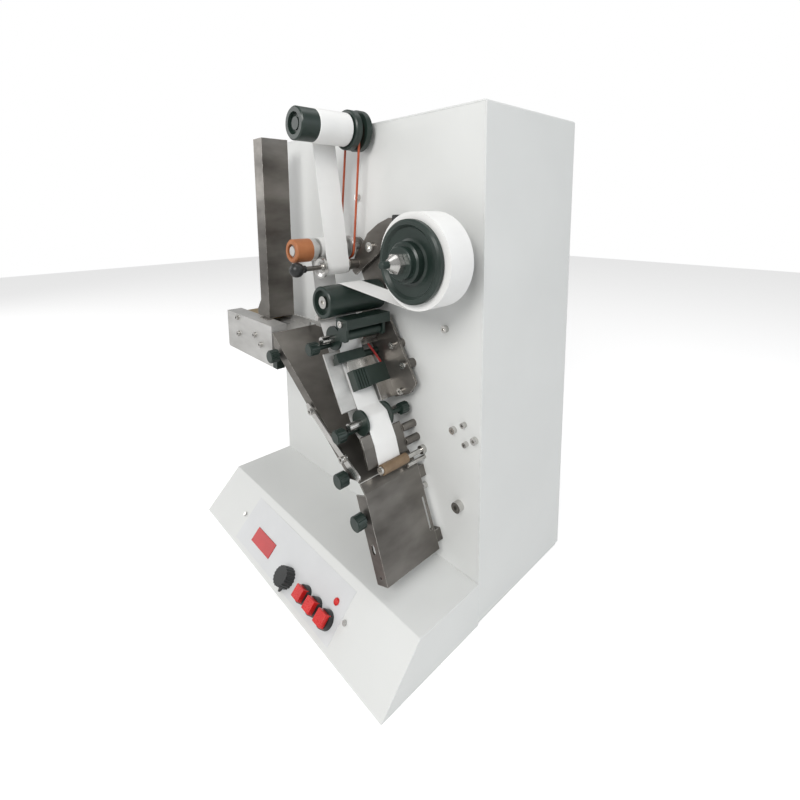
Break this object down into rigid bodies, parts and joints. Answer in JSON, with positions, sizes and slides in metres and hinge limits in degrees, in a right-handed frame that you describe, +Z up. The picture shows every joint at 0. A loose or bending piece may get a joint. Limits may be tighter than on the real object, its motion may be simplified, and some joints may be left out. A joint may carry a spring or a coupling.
{
  "type": "labelling machine",
  "caption": "Bench-top labelling machine: chimney magazine, pusher and chutes feed thin goods under a web of labels that runs from a roll round guide bars and a peel edge to a powered rewind.",
  "frame": {"origin": "on the bench, in the plane of the mechanism face, midway between the cabinet's sides", "axes": "+Z up, -Y out of the mechanism face towards the operator, +X towards the label roll"},
  "size_m": [0.4615, 0.3484, 0.616],
  "materials": {
    "cabinet_paint": "satin off-white powder coat",
    "panel_steel": "raw brushed steel",
    "bright_steel": "fine turned steel",
    "aluminium": "pale anodised",
    "black_plastic": "matte black",
    "black_metal": "satin black-green anodised",
    "red_plastic": "glossy red",
    "red_lens": "dark red lens",
    "panel_film": "satin printed film",
    "paper": "smooth label and liner paper",
    "belt": "smooth orange-red round belt",
    "tan_rubber": "tan rubber",
    "brass": "dull brass",
    "board": "circuit board",
    "motor": "dark motor"
  },
  "bodies": {
    "machine": {"arm_pivot": "bright_steel", "backing_plate": "aluminium", "base_console": "cabinet_paint", "base_plate": "cabinet_paint", "bridge_block": "black_plastic", "button_bodies": "black_plastic", "cabinet_cover": "cabinet_paint", "clamp_knobs": "black_plastic", "control_panel": "panel_film", "display_module": "board", "display_window": "red_plastic", "drive_belt": "belt", "drive_motor": "motor", "electronics": "board", "face_bolts": "bright_steel", "feeder_actuator": "motor", "feeder_housing": "aluminium", "guide_rail": "bright_steel", "indicator_lens": "red_lens", "label_web": "paper", "liner_web": "paper", "lower_chute": "panel_steel", "magazine": "panel_steel", "mechanism_panel": "cabinet_paint", "mount_plate": "panel_steel", "peel_plate": "panel_steel", "power_inlet": "black_plastic", "rear_panel": "cabinet_paint", "roller_block": "black_plastic", "selector_switch": "black_plastic", "sensor_block": "black_plastic", "sensor_bracket": "bright_steel", "sensor_wires": "red_plastic", "shaft_bearings": "panel_steel", "shafts_and_bars": "bright_steel", "upper_chute": "panel_steel"},
    "selector": {"selector_knob": "black_plastic"},
    "button_left": {"button_left": "red_plastic"},
    "button_middle": {"button_middle": "red_plastic"},
    "button_right": {"button_right": "red_plastic"},
    "spool": {"spool_hub": "black_metal", "spool_disc": "black_metal", "spool_nut": "bright_steel", "label_roll": "paper", "spool_brake": "bright_steel"},
    "rewind": {"rewind_mandrel": "black_metal", "rewind_paper": "paper"},
    "drive": {"drive_roller": "aluminium", "drive_sleeve": "tan_rubber"},
    "nip_arm": {"swing_arm": "panel_steel", "nip_handle": "black_plastic", "arm_cap": "black_plastic"},
    "nip": {"nip_roller": "bright_steel"},
    "long_roller": {"long_roller": "black_metal"},
    "small_roller": {"small_roller": "black_plastic"},
    "press_roller": {"press_roller": "tan_rubber"},
    "upper_collar": {"upper_collar": "black_plastic"},
    "lower_collar_front": {"lower_collar_front": "black_plastic"},
    "lower_collar_rear": {"lower_collar_rear": "black_plastic"},
    "pusher": {"pusher": "brass"}
  },
  "joints": [
    {"name": "drive_spin", "type": "hinge", "parent": "machine", "child": "drive", "pos_m": [0.004, 0, 0.439], "axis": [0, -1, 0], "continuous": true},
    {"name": "rewind_spin", "type": "hinge", "parent": "machine", "child": "rewind", "pos_m": [0.022, 0, 0.59], "axis": [0, -1, 0], "continuous": true},
    {"name": "spool_spin", "type": "hinge", "parent": "machine", "child": "spool", "pos_m": [0.181, 0, 0.437], "axis": [0, -1, 0], "continuous": true},
    {"name": "nip_lever", "type": "hinge", "parent": "machine", "child": "nip_arm", "pos_m": [0.0489, 0, 0.4413], "axis": [0, -1, 0], "range_deg": [0, 14], "stiffness_Nm_per_rad": 1.2, "springref_deg": -14.32, "deforming": ["liner_web"]},
    {"name": "nip_spin", "type": "hinge", "parent": "nip_arm", "child": "nip", "pos_m": [0.01778, 0, 0.41695], "axis": [0, -1, 0], "continuous": true},
    {"name": "long_roller_spin", "type": "hinge", "parent": "machine", "child": "long_roller", "pos_m": [0.053, 0, 0.38], "axis": [0, -1, 0], "continuous": true},
    {"name": "small_roller_spin", "type": "hinge", "parent": "machine", "child": "small_roller", "pos_m": [0.074, 0, 0.34], "axis": [0, -1, 0], "continuous": true},
    {"name": "press_roller_spin", "type": "hinge", "parent": "machine", "child": "press_roller", "pos_m": [0.1285, 0, 0.188], "axis": [0, -1, 0], "continuous": true},
    {"name": "selector_turn", "type": "hinge", "parent": "machine", "child": "selector", "pos_m": [0.0155, -0.13654, 0.01546], "axis": [0, -0.7071, 0.7071], "range_deg": [-60, 60]},
    {"name": "button_left_press", "type": "slide", "parent": "machine", "child": "button_left", "axis": [0, 0.7071, -0.7071], "range_m": [0, 0.0025], "stiffness_N_per_m": 250, "springref_m": -0.001},
    {"name": "button_middle_press", "type": "slide", "parent": "machine", "child": "button_middle", "axis": [0, 0.7071, -0.7071], "range_m": [0, 0.0025], "stiffness_N_per_m": 250, "springref_m": -0.001},
    {"name": "button_right_press", "type": "slide", "parent": "machine", "child": "button_right", "axis": [0, 0.7071, -0.7071], "range_m": [0, 0.0025], "stiffness_N_per_m": 250, "springref_m": -0.001},
    {"name": "upper_collar_slide", "type": "slide", "parent": "machine", "child": "upper_collar", "axis": [0, -1, 0], "range_m": [0, 0.008]},
    {"name": "lower_collar_front_slide", "type": "slide", "parent": "machine", "child": "lower_collar_front", "axis": [0, -1, 0], "range_m": [0, 0.008]},
    {"name": "lower_collar_rear_slide", "type": "slide", "parent": "machine", "child": "lower_collar_rear", "axis": [0, 1, 0], "range_m": [0, 0.0075]},
    {"name": "pusher_slide", "type": "slide", "parent": "machine", "child": "pusher", "axis": [1, 0, 0], "range_m": [0, 0.034]}
  ],
  "couplings": [
    {"joint": "rewind_spin", "follows": "drive_spin", "ratio": 1.08},
    {"joint": "nip_spin", "follows": "drive_spin", "ratio": -1.381}
  ]
}
